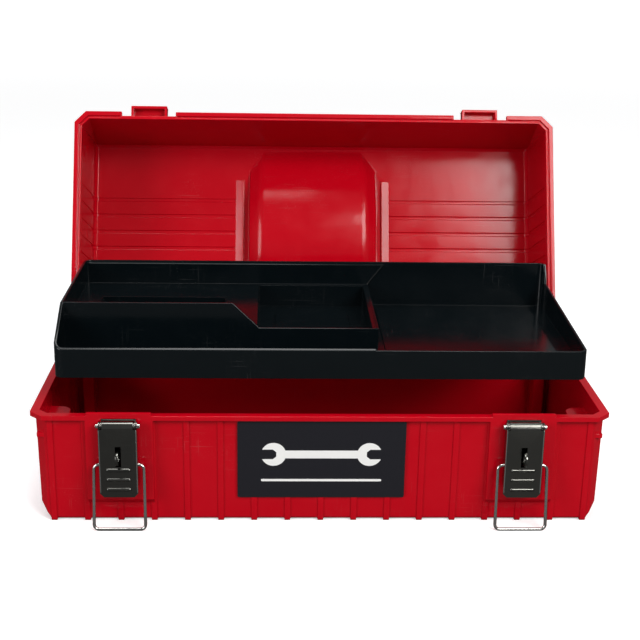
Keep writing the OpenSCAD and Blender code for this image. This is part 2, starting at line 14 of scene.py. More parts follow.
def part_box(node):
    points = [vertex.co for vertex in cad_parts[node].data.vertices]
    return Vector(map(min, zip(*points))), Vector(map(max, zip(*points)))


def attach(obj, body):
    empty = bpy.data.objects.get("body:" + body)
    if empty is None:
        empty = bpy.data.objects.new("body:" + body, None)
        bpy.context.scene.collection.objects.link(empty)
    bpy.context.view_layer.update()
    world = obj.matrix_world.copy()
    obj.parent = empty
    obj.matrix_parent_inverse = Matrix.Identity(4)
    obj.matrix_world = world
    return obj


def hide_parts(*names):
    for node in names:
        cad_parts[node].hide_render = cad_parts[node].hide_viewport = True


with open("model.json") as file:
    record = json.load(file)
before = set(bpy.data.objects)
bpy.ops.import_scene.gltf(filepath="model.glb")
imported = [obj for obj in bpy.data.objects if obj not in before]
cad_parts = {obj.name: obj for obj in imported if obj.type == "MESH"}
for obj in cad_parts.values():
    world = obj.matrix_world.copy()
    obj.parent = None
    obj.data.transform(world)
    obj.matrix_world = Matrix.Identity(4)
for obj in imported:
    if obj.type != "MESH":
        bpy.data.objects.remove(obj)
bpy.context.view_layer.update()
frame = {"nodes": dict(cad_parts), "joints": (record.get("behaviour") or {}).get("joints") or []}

bl_info = {
    "name": "Toolbox with tray",
    "version": (1, 0, 0),
    "blender": (4, 5, 0),
    "location": "View3D > Sidebar > Toolbox",
    "description": "Dresses the toolbox frame: mouldings, tray, latches, bails, label and handle",
    "category": "Object",
}

MM = 0.001
SIDES = ("left", "right")
JOINT = {joint["name"]: joint for joint in frame["joints"]}


# ------------------------------------------------------------------ sizes and colours


def colour(name, description, default):
    """A colour property with its name, description and default."""
    return bpy.props.FloatVectorProperty(
        name=name, description=description, default=default, size=3, min=0, max=1, subtype="COLOR"
    )


def length(name, description, default):
    """A length property in metres."""
    return bpy.props.FloatProperty(
        name=name, description=description, default=default, min=0, unit="LENGTH", precision=5
    )


class ToolboxFinish(bpy.types.PropertyGroup):
    """Colours and small radii of the toolbox's surfaces."""

    shell_red: colour("Shell red", "Moulded red of base and lid", (0.46, 0.0008, 0.008))
    tray_black: colour("Tray black", "Moulded black of the tray", (0.0018, 0.0036, 0.0046))
    grip_black: colour("Grip black", "Black of the carry handle", (0.014, 0.014, 0.015))
    film_black: colour("Label black", "Black film of the label", (0.006, 0.006, 0.007))
    print_white: colour("Label print", "Pale print on the label", (0.82, 0.82, 0.80))
    # The sheet steel's dark colour is a painted dark reflection: polished steel coloured as if it mirrored
    # dark surroundings.
    sheet_steel_dark_reflection: colour("Sheet steel", "Polished sheet of the latches", (0.17, 0.17, 0.155))
    wire_steel: colour("Wire steel", "Bright wire, pins and rivets", (0.66, 0.65, 0.62))
    shell_round: length("Shell edge radius", "Radius on the shells' edges", 0.45 * MM)
    tray_round: length("Tray edge radius", "Radius on the tray's edges", 0.5 * MM)
    steel_round: length("Sheet edge radius", "Radius on the latch sheet's edges", 0.18 * MM)
    handle_round: length("Handle edge radius", "Radius on the handle's edges", 1.2 * MM)


class ToolboxPieces(bpy.types.PropertyGroup):
    """Sizes of the pieces that are added to the frame."""

    fold_radius: length("Fold radius", "Radius of the levers' folded edges", 0.55 * MM)
    wire_radius: length("Wire radius", "Radius of the bails' wire", 1.05 * MM)
    wire_bend: length("Wire bend", "Bend radius of the bails' corners", 3.2 * MM)
    film_corner: length("Label corner", "Corner radius of the label", 1.2 * MM)
    film_thick: length("Label thickness", "Thickness of the label film", 0.4 * MM)
    sleeve_radius: length("Sleeve radius", "Radius of the grip sleeve", 6.9 * MM)
    sleeve_wave: length("Sleeve wave", "Depth of the finger waves", 0.5 * MM)


class ToolboxStage(bpy.types.PropertyGroup):
    """Camera and lights."""

    camera_place: bpy.props.FloatVectorProperty(
        name="Camera place", description="Where the camera stands", size=3,
        default=(-0.0303, -0.8114, 0.3690), unit="LENGTH", subtype="XYZ",
    )
    camera_down: bpy.props.FloatProperty(
        name="Down", description="How far the camera looks down", default=math.radians(17.62), unit="ROTATION"
    )
    camera_turn: bpy.props.FloatProperty(
        name="Turn", description="How far it turns to the right", default=math.radians(2.18), unit="ROTATION"
    )
    camera_roll: bpy.props.FloatProperty(
        name="Roll", description="How far it leans to the right", default=math.radians(0.99), unit="ROTATION"
    )
    camera_lens: bpy.props.FloatProperty(
        name="Lens", description="Focal length in millimetres on a 36 mm sensor", default=70.2, min=1
    )
    floor_tone: colour("Floor", "Pale floor", (0.86, 0.86, 0.86))
    floor_bounce: bpy.props.FloatProperty(
        name="Bounce", description="How much of its tone the floor throws back on the box",
        default=0.35, min=0, max=1,
    )
    floor_mirror: bpy.props.FloatProperty(
        name="Mirrored", description="How much of its tone shiny surfaces see", default=0.08, min=0, max=1
    )
    floor_fade: bpy.props.FloatProperty(
        name="Glow outward", description="How much the glow grows with each metre from the box",
        default=0.16, min=0,
    )
    floor_glow: bpy.props.FloatProperty(
        name="Glow", description="Light that lifts the floor to near white", default=0.38, min=0
    )
    sky_tone: colour("Surroundings", "Soft light from all round", (0.80, 0.81, 0.83))
    sky_strength: bpy.props.FloatProperty(
        name="Strength", description="Strength of the soft light from all round", default=0.22, min=0
    )


# ------------------------------------------------------------------ mesh makers


def mesh_object(name, points, faces, smooth=True):
    """A mesh object from an array of points and a list of faces of plain numbers, at the origin."""
    mesh = bpy.data.meshes.new(name)
    mesh.from_pydata(np.asarray(points, float).reshape(-1, 3), [], faces)
    mesh.polygons.foreach_set("use_smooth", np.full(len(mesh.polygons), smooth))
    mesh.update()
    piece = bpy.data.objects.new(name, mesh)
    bpy.context.scene.collection.objects.link(piece)
    return piece


def grid_faces(rows, columns):
    """Quads between the points of a grid laid out row by row, each row closed to a ring."""
    i, j = np.meshgrid(np.arange(rows - 1), np.arange(columns), indexing="ij")
    up, right = i + 1, (j + 1) % columns
    quads = np.stack([i * columns + j, i * columns + right, up * columns + right, up * columns + j], -1)
    return quads.reshape(-1, 4)


def rounded_path(corners, radius, step):
    """Points along a broken line whose corners are rounded.

    At each corner the path leaves its line at the radius's tangent length, and follows the arc
    centre + radius * (cos a, sin a) in the corner's own plane, with a point every step or so.
    """
    corners = [np.asarray(c, float) for c in corners]
    path = [corners[0]]
    for before, corner, after in zip(corners, corners[1:], corners[2:]):
        u = (before - corner) / np.linalg.norm(before - corner)
        v = (after - corner) / np.linalg.norm(after - corner)
        half = 0.5 * math.acos(float(np.clip(u @ v, -1, 1)))
        tangent = radius / math.tan(half)
        middle = (u + v) / np.linalg.norm(u + v)
        centre = corner + middle * radius / math.sin(half)
        start = corner + u * tangent
        e1 = (start - centre) / radius
        e2 = -u - (-u @ e1) * e1
        e2 /= np.linalg.norm(e2)
        a = np.linspace(0, math.pi - 2 * half, max(3, int(radius * (math.pi - 2 * half) / step) + 2))
        path += list(centre + radius * (np.outer(np.cos(a), e1) + np.outer(np.sin(a), e2)))
    path.append(corners[-1])
    return np.array(path)


def tube_along(name, path, radius, sides=16, cap_rings=4):
    """Round bar along a path, closed by half-round ends.

    Ring k is path[k] + r_k * (cos a * n_k + sin a * b_k), where n_k is carried along the path
    without twist, and the end rings shrink as a quarter circle to a single point.
    """
    tangent = np.gradient(path, axis=0)
    tangent /= np.linalg.norm(tangent, axis=1)[:, None]
    q = np.linspace(0, math.pi / 2, cap_rings + 1)[1:-1]
    lead = path[0] - np.outer(np.sin(np.flip(q)), tangent[0]) * radius
    tail = path[-1] + np.outer(np.sin(q), tangent[-1]) * radius
    radii = np.concatenate([np.cos(np.flip(q)), np.ones(len(path)), np.cos(q)]) * radius
    centres = np.concatenate([lead, path, tail])
    ways = np.concatenate([np.repeat(tangent[:1], len(q), 0), tangent, np.repeat(tangent[-1:], len(q), 0)])
    normal = np.zeros_like(ways)
    seed = np.array([0, 0, 1.0]) if abs(ways[0][2]) < 0.9 else np.array([0, 1.0, 0])
    for k, way in enumerate(ways):
        seed = seed - (seed @ way) * way
        seed /= np.linalg.norm(seed)
        normal[k] = seed
    across = np.cross(ways, normal)
    a = np.linspace(0, 2 * math.pi, sides, endpoint=False)
    rings = centres[:, None] + radii[:, None, None] * (
        np.cos(a)[None, :, None] * normal[:, None] + np.sin(a)[None, :, None] * across[:, None]
    )
    ends = np.array([path[0] - tangent[0] * radius, path[-1] + tangent[-1] * radius])
    points = np.concatenate([rings.reshape(-1, 3), ends])
    count = len(centres)
    faces = grid_faces(count, sides).tolist()
    first, last = count * sides, count * sides + 1
    faces += [(first, (j + 1) % sides, j) for j in range(sides)]
    faces += [(last, (count - 1) * sides + j, (count - 1) * sides + (j + 1) % sides) for j in range(sides)]
    return mesh_object(name, points, faces)


def turned(name, profile, centre, sides=48):
    """Surface of a profile (place along the axis, radius) turned about an axis along X.

    Point (k, a) is centre + (x_k, r_k cos a, r_k sin a); a profile that ends at radius 0 closes
    on a single point at each end.
    """
    profile = np.asarray(profile, float)
    a = np.linspace(0, 2 * math.pi, sides, endpoint=False)
    inner = profile[1:-1]
    rings = np.empty((len(inner), sides, 3))
    rings[..., 0] = inner[:, :1]
    rings[..., 1] = inner[:, 1:] * np.cos(a)
    rings[..., 2] = inner[:, 1:] * np.sin(a)
    ends = np.array([[profile[0][0], 0, 0], [profile[-1][0], 0, 0]])
    points = np.concatenate([rings.reshape(-1, 3), ends]) + np.asarray(centre)
    count = len(inner)
    faces = grid_faces(count, sides)[:, ::-1].tolist()
    faces += [(count * sides, j, (j + 1) % sides) for j in range(sides)]
    last = (count - 1) * sides
    faces += [(count * sides + 1, last + (j + 1) % sides, last + j) for j in range(sides)]
    return mesh_object(name, points, faces)


def slab(name, outline, thickness, rim=0.0):
    """Flat plate in X and Z from an outline, its back at y = 0 and its face at y = -thickness.

    The outline is repeated at the back, at the face's rounded rim and on the face, so the plate is
    a closed prism with a small bevel of width rim round its face.
    """
    outline = np.asarray(outline, float)
    count = len(outline)
    centre = outline.mean(0)
    way = outline - centre
    shrunk = outline - way / np.linalg.norm(way, axis=1)[:, None] * rim
    levels = [(outline, 0.0), (outline, -thickness + rim), (shrunk, -thickness)]
    points = np.concatenate([np.column_stack([o[:, 0], np.full(count, y), o[:, 1]]) for o, y in levels])
    faces = grid_faces(len(levels), count).tolist()
    faces += [tuple(range(count))[::-1], tuple(range(2 * count, 3 * count))]
    return mesh_object(name, points, faces, smooth=False)


def round_rectangle(width, height, radius, steps=8):
    """Outline of a rectangle with quarter-circle corners, anticlockwise in X and Z."""
    a = np.linspace(0, math.pi / 2, steps)
    corners = []
    for turn, (sx, sz) in enumerate(((1, 1), (-1, 1), (-1, -1), (1, -1))):
        middle = np.array([sx * (width / 2 - radius), sz * (height / 2 - radius)])
        angle = a + turn * math.pi / 2
        corners.append(middle + radius * np.column_stack([np.cos(angle), np.sin(angle)]))
    return np.concatenate(corners)


def placed(piece, matrix):
    """Puts a piece's place into its mesh, so its object stays at the origin."""
    piece.data.transform(matrix)
    piece.data.update()
    return piece


# ------------------------------------------------------------------ modifiers


def shading_group():
    """Node group that shades faces smooth and keeps edges sharper than an angle crisp."""
    name = "crisp_edges"
    if name in bpy.data.node_groups:
        return bpy.data.node_groups[name]
    group = bpy.data.node_groups.new(name, "GeometryNodeTree")
    group.interface.new_socket("Geometry", in_out="INPUT", socket_type="NodeSocketGeometry")
    angle = group.interface.new_socket("Angle", in_out="INPUT", socket_type="NodeSocketFloat")
    angle.default_value = math.radians(42)
    group.interface.new_socket("Geometry", in_out="OUTPUT", socket_type="NodeSocketGeometry")
    nodes, links = group.nodes, group.links
    start, end = nodes.new("NodeGroupInput"), nodes.new("NodeGroupOutput")
    faces, edges = nodes.new("GeometryNodeSetShadeSmooth"), nodes.new("GeometryNodeSetShadeSmooth")
    edges.domain = "EDGE"
    edges.inputs["Shade Smooth"].default_value = False
    fold = nodes.new("GeometryNodeInputMeshEdgeAngle")
    above = nodes.new("FunctionNodeCompare")
    links.new(start.outputs["Geometry"], faces.inputs["Geometry"])
    links.new(faces.outputs["Geometry"], edges.inputs["Geometry"])
    links.new(fold.outputs["Unsigned Angle"], above.inputs[0])
    links.new(start.outputs["Angle"], above.inputs[1])
    links.new(above.outputs["Result"], edges.inputs["Selection"])
    links.new(edges.outputs["Geometry"], end.inputs["Geometry"])
    return group


def soften(piece, radius=0.0, segments=2):
    """Rounds a hard-edged piece: joins its triangles, clears flat ones, bevels edges, evens shading.

    Without a radius the edges stay as they are and only the shading changes.
    """
    weld = piece.modifiers.new("join", "WELD")
    weld.merge_threshold = 0.002 * MM
    flat = piece.modifiers.new("flatten", "DECIMATE")
    flat.decimate_type = "DISSOLVE"
    flat.angle_limit = math.radians(0.3)
    piece.modifiers.new("triangles", "TRIANGULATE")
    if radius:
        bevel = piece.modifiers.new("round", "BEVEL")
        bevel.width = radius
        bevel.segments = segments
        bevel.limit_method = "ANGLE"
        bevel.angle_limit = math.radians(34)
        bevel.use_clamp_overlap = False
    shade = piece.modifiers.new("shade", "NODES")
    shade.node_group = shading_group()
    even = piece.modifiers.new("even", "WEIGHTED_NORMAL")
    even.keep_sharp = True
    return piece


# ------------------------------------------------------------------ shared shader groups


def shader_group(name, inputs, outputs):
    """An empty shader group with named sockets; each input is (name, default or None for a vector)."""
    group = bpy.data.node_groups.new(name, "ShaderNodeTree")
    for label, default in inputs:
        kind = "NodeSocketVector" if default is None else "NodeSocketFloat"
        kind = "NodeSocketColor" if isinstance(default, tuple) else kind
        socket = group.interface.new_socket(label, in_out="INPUT", socket_type=kind)
        if default is not None:
            socket.default_value = default
    for label, kind in outputs:
        group.interface.new_socket(label, in_out="OUTPUT", socket_type=kind)
    return group, group.nodes.new("NodeGroupInput"), group.nodes.new("NodeGroupOutput")


def maths(group, operation, first, second, clamp=False):
    """A Math node whose two inputs are sockets or numbers; returns its output."""
    node = group.nodes.new("ShaderNodeMath")
    node.operation = operation
    node.use_clamp = clamp
    for slot, value in zip(node.inputs, (first, second)):
        if isinstance(value, (int, float)):
            slot.default_value = value
        else:
            group.links.new(value, slot)
    return node.outputs[0]


def noise(group, vector, scale, detail=2.0, rough=0.5):
    """A noise texture on a vector; returns its value output."""
    node = group.nodes.new("ShaderNodeTexNoise")
    node.inputs["Detail"].default_value = detail
    node.inputs["Roughness"].default_value = rough
    group.links.new(vector, node.inputs["Vector"])
    node.inputs["Scale"].default_value = scale
    return node.outputs[0]


def ramp(group, value, low, high, to_low=0.0, to_high=1.0):
    """Value mapped from one range to another and held at the ends; returns the output."""
    node = group.nodes.new("ShaderNodeMapRange")
    node.clamp = True
    for name, number in (("From Min", low), ("From Max", high), ("To Min", to_low), ("To Max", to_high)):
        node.inputs[name].default_value = number
    group.links.new(value, node.inputs["Value"])
    return node.outputs["Result"]


def stretched(group, vector, scale, turn):
    """The vector turned and scaled by a Mapping node."""
    node = group.nodes.new("ShaderNodeMapping")
    node.inputs["Scale"].default_value = scale
    node.inputs["Rotation"].default_value = turn
    group.links.new(vector, node.inputs["Vector"])
    return node.outputs[0]


def mould_grain_group():
    """Height of a moulded skin: a long orange-peel swell, and a fine spark-eroded grain."""
    group, start, end = shader_group(
        "mould_grain", [("Vector", None), ("Swell", 0.5), ("Grain", 0.5)], [("Height", "NodeSocketFloat")]
    )
    swell = noise(group, start.outputs["Vector"], scale=95.0, detail=1.0)
    fine = noise(group, start.outputs["Vector"], scale=2600.0, rough=0.6)
    total = maths(
        group, "ADD",
        maths(group, "MULTIPLY", swell, start.outputs["Swell"]),
        maths(group, "MULTIPLY", fine, start.outputs["Grain"]),
    )
    group.links.new(total, end.inputs["Height"])
    return group


# turn and stretch of each set of scratches; the smallest stretch is the way they run
SCRATCHES = (
    ((0.3, 0.5, 0.9), (40, 1400, 1400)),
    ((1.1, 0.2, 2.3), (1500, 50, 1500)),
    ((0.7, 1.3, 0.4), (1300, 1300, 45)),
)


def scratches_group():
    """Mask of sparse hairline scratches: three turned, stretched noises, thresholded and broken up."""
    group, start, end = shader_group(
        "hairline_scratches", [("Vector", None), ("Amount", 0.5)], [("Mask", "NodeSocketFloat")]
    )
    total = None
    for turn, stretch in SCRATCHES:
        line = noise(group, stretched(group, start.outputs["Vector"], stretch, turn), scale=1.0, detail=0.0)
        line = ramp(group, line, 0.735, 0.77)
        total = line if total is None else maths(group, "MAXIMUM", total, line)
    patch = ramp(group, noise(group, start.outputs["Vector"], scale=26.0), 0.52, 0.68)
    mask = maths(group, "MULTIPLY", total, patch)
    mask = maths(group, "MULTIPLY", mask, start.outputs["Amount"], clamp=True)
    group.links.new(mask, end.inputs["Mask"])
    return group


def tone_drift_group():
    """Colour that drifts a little lighter and darker over the piece, as pigment does in a moulding."""
    group, start, end = shader_group(
        "tone_drift",
        [("Vector", None), ("Colour", (0.5, 0.5, 0.5, 1.0)), ("Drift", 0.1)],
        [("Colour", "NodeSocketColor"), ("Smudge", "NodeSocketFloat")],
    )
    cloud = noise(group, start.outputs["Vector"], scale=9.0, detail=3.0, rough=0.55)
    fine = noise(group, start.outputs["Vector"], scale=60.0, detail=3.0, rough=0.6)
    shift = maths(group, "SUBTRACT", maths(group, "MULTIPLY", maths(group, "ADD", cloud, fine), 0.5), 0.5)
    factor = maths(group, "ADD", maths(group, "MULTIPLY", shift, start.outputs["Drift"]), 1.0)
    scale = group.nodes.new("ShaderNodeVectorMath")
    scale.operation = "SCALE"
    group.links.new(start.outputs["Colour"], scale.inputs[0])
    group.links.new(factor, scale.inputs["Scale"])
    group.links.new(scale.outputs[0], end.inputs["Colour"])
    group.links.new(ramp(group, fine, 0.35, 0.7), end.inputs["Smudge"])
    return group


def grain_lines_group():
    """Mill grain of sheet steel: noise drawn out along Z into fine parallel lines."""
    group, start, end = shader_group(
        "mill_grain", [("Vector", None), ("Stretch", None)], [("Lines", "NodeSocketFloat")]
    )
    product = group.nodes.new("ShaderNodeVectorMath")
    product.operation = "MULTIPLY"
    group.links.new(start.outputs["Vector"], product.inputs[0])
    group.links.new(start.outputs["Stretch"], product.inputs[1])
    lines = noise(group, product.outputs[0], scale=1.0, detail=3.0, rough=0.65)
    group.links.new(ramp(group, lines, 0.3, 0.7), end.inputs["Lines"])
    return group


SHARED = {}


def shared(maker):
    """A shader group made once and looked up after that."""
    key = maker.__name__
    if key not in SHARED:
        SHARED[key] = maker()
    return SHARED[key]


# ------------------------------------------------------------------ materials


def new_material(name):
    """An empty node material: its tree, its Principled shader and its object coordinates."""
    material = bpy.data.materials.new(name)
    material.use_nodes = True
    tree = material.node_tree
    tree.nodes.clear()
    shader = tree.nodes.new("ShaderNodeBsdfPrincipled")
    output = tree.nodes.new("ShaderNodeOutputMaterial")
    tree.links.new(shader.outputs[0], output.inputs["Surface"])
    place = tree.nodes.new("ShaderNodeTexCoord").outputs["Object"]
    return material, tree, shader, place


def use_group(tree, maker, vector, **values):
    """Places a shared group in a material with its own values."""
    node = tree.nodes.new("ShaderNodeGroup")
    node.node_tree = shared(maker)
    tree.links.new(vector, node.inputs["Vector"])
    for label, value in values.items():
        node.inputs[label].default_value = value
    return node


def mix_colour(tree, factor, first, second):
    """Mix of two colours by a mask; each is a socket or a colour."""
    node = tree.nodes.new("ShaderNodeMix")
    node.data_type = "RGBA"
    tree.links.new(factor, node.inputs["Factor"])
    for slot, value in ((node.inputs[6], first), (node.inputs[7], second)):
        if isinstance(value, tuple):
            slot.default_value = value
        else:
            tree.links.new(value, slot)
    return node.outputs[2]


def bump(tree, shader, height, depth):
    """Bump of a height in metres on a shader's normal."""
    node = tree.nodes.new("ShaderNodeBump")
    node.inputs["Distance"].default_value = depth
    node.inputs["Strength"].default_value = 1.0
    tree.links.new(height, node.inputs["Height"])
    tree.links.new(node.outputs[0], shader.inputs["Normal"])


def moulded_plastic(name, base, *, smooth, rough, swell, grain, depth, scuff, drift, specular=0.5):
    """Moulded plastic: drifting pigment, orange-peel swell, fine grain, smudges and hairline scuffs."""
    material, tree, shader, place = new_material(name)
    tone = use_group(tree, tone_drift_group, place, Colour=(*base, 1.0), Drift=drift)
    skin = use_group(tree, mould_grain_group, place, Swell=swell, Grain=grain)
    marks = use_group(tree, scratches_group, place, Amount=scuff)
    pale = tuple(0.7 * c + 0.12 for c in base) + (1.0,)
    paint = mix_colour(tree, marks.outputs["Mask"], tone.outputs["Colour"], pale)
    tree.links.new(paint, shader.inputs["Base Color"])
    gloss = ramp(tree, tone.outputs["Smudge"], 0.0, 1.0, smooth, rough)
    gloss = maths(tree, "ADD", gloss, maths(tree, "MULTIPLY", marks.outputs["Mask"], 0.25), clamp=True)
    tree.links.new(gloss, shader.inputs["Roughness"])
    shader.inputs["Specular IOR Level"].default_value = specular
    bump(tree, shader, skin.outputs["Height"], depth)
    return material


def steel(name, base, *, smooth, rough, stretch, scuff):
    """Polished steel: fine mill grain in roughness and bump, a little tarnish and hairline scratches."""
    material, tree, shader, place = new_material(name)
    tone = use_group(tree, tone_drift_group, place, Colour=(*base, 1.0), Drift=0.3)
    lines = use_group(tree, grain_lines_group, place, Stretch=stretch)
    marks = use_group(tree, scratches_group, place, Amount=scuff)
    bright = tuple(min(1.0, 1.6 * c + 0.05) for c in base) + (1.0,)
    paint = mix_colour(tree, marks.outputs["Mask"], tone.outputs["Colour"], bright)
    tree.links.new(paint, shader.inputs["Base Color"])
    gloss = ramp(tree, lines.outputs["Lines"], 0.0, 1.0, smooth, rough)
    gloss = maths(tree, "ADD", gloss, maths(tree, "MULTIPLY", tone.outputs["Smudge"], 0.06), clamp=True)
    tree.links.new(gloss, shader.inputs["Roughness"])
    shader.inputs["Metallic"].default_value = 1.0
    bump(tree, shader, lines.outputs["Lines"], 0.004 * MM)
    return material


MATERIALS = {
    "red_moulding": lambda f: moulded_plastic(
        "red_moulding", tuple(f.shell_red), smooth=0.13, rough=0.22, swell=0.5, grain=0.05,
        depth=0.10 * MM, scuff=0.16, drift=0.16, specular=0.30,
    ),
    "tray_moulding": lambda f: moulded_plastic(
        "tray_moulding", tuple(f.tray_black), smooth=0.14, rough=0.22, swell=0.4, grain=0.04,
        depth=0.08 * MM, scuff=0.08, drift=0.25, specular=0.38,
    ),
    "grip_moulding": lambda f: moulded_plastic(
        "grip_moulding", tuple(f.grip_black), smooth=0.42, rough=0.58, swell=0.3, grain=1.0,
        depth=0.10 * MM, scuff=0.4, drift=0.3,
    ),
    "label_film": lambda f: moulded_plastic(
        "label_film", tuple(f.film_black), smooth=0.30, rough=0.38, swell=0.3, grain=0.05,
        depth=0.03 * MM, scuff=0.1, drift=0.2, specular=0.2,
    ),
    "label_print": lambda f: moulded_plastic(
        "label_print", tuple(f.print_white), smooth=0.35, rough=0.45, swell=0.2, grain=0.05,
        depth=0.02 * MM, scuff=0.2, drift=0.06,
    ),
    # Latch sheet: steel darkened as a painted dark reflection.
    "latch_sheet_dark_reflection": lambda f: steel(
        "latch_sheet_dark_reflection", tuple(f.sheet_steel_dark_reflection), smooth=0.10, rough=0.18, stretch=(5200, 5200, 160), scuff=0.25,
    ),
    "bright_wire": lambda f: steel(
        "bright_wire", tuple(f.wire_steel), smooth=0.09, rough=0.18, stretch=(900, 900, 900), scuff=0.4,
    ),
}


def finish_of(name):
    """The named material, made on first use."""
    if name not in bpy.data.materials:
        MATERIALS[name](bpy.context.scene.toolbox_finish)
    return bpy.data.materials[name]


def dress(piece, material):
    """Gives a piece one material."""
    piece.data.materials.clear()
    piece.data.materials.append(finish_of(material))


def add_piece(piece, body, material, slot, *nodes):
    """Finishes a new piece: material, body it rides on, CAD nodes it stands for. The record slot argument is
    not used.
    """
    dress(piece, material)
    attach(piece, body)
    if nodes:
        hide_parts(*nodes)


# ------------------------------------------------------------------ operators


class PieceOperator:
    """What every maker shares: undo and a plain result."""

    bl_options = {"REGISTER", "UNDO"}

    def execute(self, context):
        self.make(context.scene)
        return {"FINISHED"}


class TOOLBOX_OT_shells(PieceOperator, bpy.types.Operator):
    """Rounds the base and lid mouldings and gives them red plastic"""

    bl_idname = "toolbox.shells"
    bl_label = "Shells"

    def make(self, scene):
        for node in ("base_shell", "lid_shell"):
            dress(soften(frame["nodes"][node], scene.toolbox_finish.shell_round), "red_moulding")


class TOOLBOX_OT_tray(PieceOperator, bpy.types.Operator):
    """Rounds the lift-out tray and gives it black plastic"""

    bl_idname = "toolbox.tray"
    bl_label = "Tray"

    def make(self, scene):
        dress(soften(frame["nodes"]["tray"], scene.toolbox_finish.tray_round), "tray_moulding")


class TOOLBOX_OT_latches(PieceOperator, bpy.types.Operator):
    """Finishes brackets, levers and staples in sheet steel darkened as a painted dark reflection, pins and
    rivets in bright steel, and bright folded edges on the levers as a painted highlight
    """

    bl_idname = "toolbox.latches"
    bl_label = "Latches"

    def make(self, scene):
        radius = scene.toolbox_finish.steel_round
        for side in SIDES:
            # Brackets, staples and levers take the darkened sheet steel, a painted dark reflection.
            for node in ("latch_bracket_", "padlock_staple_"):
                dress(soften(frame["nodes"][node + side], radius), "latch_sheet_dark_reflection")
            dress(soften(frame["nodes"]["latch_lever_" + side]), "latch_sheet_dark_reflection")
            self.folds_with_painted_highlight(side, scene.toolbox_pieces.fold_radius)
            for node in ("latch_pin_", "latch_rivets_", "hinge_pin_", "handle_pin_"):
                dress(soften(frame["nodes"][node + side], radius), "bright_wire")

    def folds_with_painted_highlight(self, side, radius):
        """Round bars along the lever's two long edges, where its sheet is folded, given the bright wire steel
        instead of the lever's darker sheet: a painted highlight down each edge.
        """
        face_step, foot_gap, head_gap = 3.8 * MM, 3.2 * MM, 4.6 * MM
        sunk, rings = 0.85 * radius, 24
        low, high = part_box("latch_lever_" + side)
        y = JOINT["latch_" + side]["pos_m"][1] - face_step + sunk
        z = np.linspace(low.z + foot_gap, high.z - head_gap, rings)
        for name, x in (("inner", low.x + sunk), ("outer", high.x - sunk)):
            path = np.column_stack([np.full(rings, x), np.full(rings, y), z])
            fold = tube_along(f"lever_fold_{side}_{name}", path, radius, sides=12)
            # Bright wire steel on the lever's own folded sheet: a painted highlight.
            add_piece(fold, f"lever_{side}", "bright_wire", "steel")


class TOOLBOX_OT_bails(PieceOperator, bpy.types.Operator):
    """Bends the two wire bails that hang from the levers"""

    bl_idname = "toolbox.bails"
    bl_label = "Bails"

    def make(self, scene):
        sizes = scene.toolbox_pieces
        r = sizes.wire_radius
        inside, shoulder, step = 1.4 * MM, 0.6 * MM, 0.6 * MM
        across = np.array([1.0, 0, 0])
        for side in SIDES:
            low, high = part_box(f"bail_{side}")
            lever_low, lever_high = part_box(f"latch_lever_{side}")
            top = np.array(JOINT[f"bail_{side}_swing"]["pos_m"])
            down = np.array([0, low.y + r - top[1], low.z + r - top[2]])
            half = (high.x - low.x) / 2 - r
            stub = (lever_high.x - lever_low.x) / 2 - inside
            corners = top + np.array([
                -across * stub, -across * (half - shoulder), down - across * half,
                down + across * half, across * (half - shoulder), across * stub,
            ])
            wire = tube_along(f"bail_wire_{side}", rounded_path(corners, sizes.wire_bend, step), r)
            add_piece(wire, f"wire_{side}", "bright_wire", "steel", f"bail_{side}")


class TOOLBOX_OT_label(PieceOperator, bpy.types.Operator):
    """Lays the black label on the front ribs, with a plain spanner printed on it"""

    bl_idname = "toolbox.label"
    bl_label = "Label"

    def make(self, scene):
        sizes = scene.toolbox_pieces
        low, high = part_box("front_label")
        width, height = high.x - low.x, high.z - low.z
        film_t, print_t, lift = 0.6 * MM, 0.06 * MM, 0.01 * MM
        print_w = 0.72 * width
        lean = math.atan2(high.y - low.y - film_t, height)
        middle = (low + high) / 2 + Vector((0, film_t / 2, 0))
        place = Matrix.Translation(middle) @ Matrix.Rotation(lean, 4, "X")
        outline = round_rectangle(width, height, sizes.film_corner)
        film = slab("label_sheet", outline, sizes.film_thick, rim=0.08 * MM)
        add_piece(placed(film, place), "base", "label_film", "label_film", "front_label")
        front = place @ Matrix.Translation((0, lift - sizes.film_thick, 0))
        tool = slab("label_spanner", spanner_outline(print_w, 0.30 * height), print_t)
        bar = slab("label_rule", round_rectangle(print_w, 1.6 * MM, 0.7 * MM), print_t)
        for mark, up in ((tool, 0.07), (bar, -0.27)):
            print_place = front @ Matrix.Translation((0, 0, up * height))
            add_piece(placed(mark, print_place), "base", "label_print", "label_film")


def spanner_outline(width, height):
    """Outline of a double open-ended spanner in X and Z.

    Each head is a circle cut by a straight-sided jaw, and a bar of two parallel lines joins them.
    """
    head = height / 2
    neck, jaw = 0.34 * head, 0.42 * head
    mouth_x, throat_x, throat_z = 0.05 * head, -0.22 * head, 0.45 * jaw
    a = math.asin(neck / head)
    b = math.asin(jaw / head)
    turn = np.linspace(-math.pi + a, -b, 22)
    right = np.column_stack([np.cos(turn), np.sin(turn)]) * head
    mouth = np.array([[mouth_x, -jaw], [throat_x, -throat_z], [throat_x, throat_z], [mouth_x, jaw]])
    end = np.concatenate([right, mouth, right[::-1] * (1, -1)])
    end[:, 0] += width / 2 - head
    return np.concatenate([end, -end])


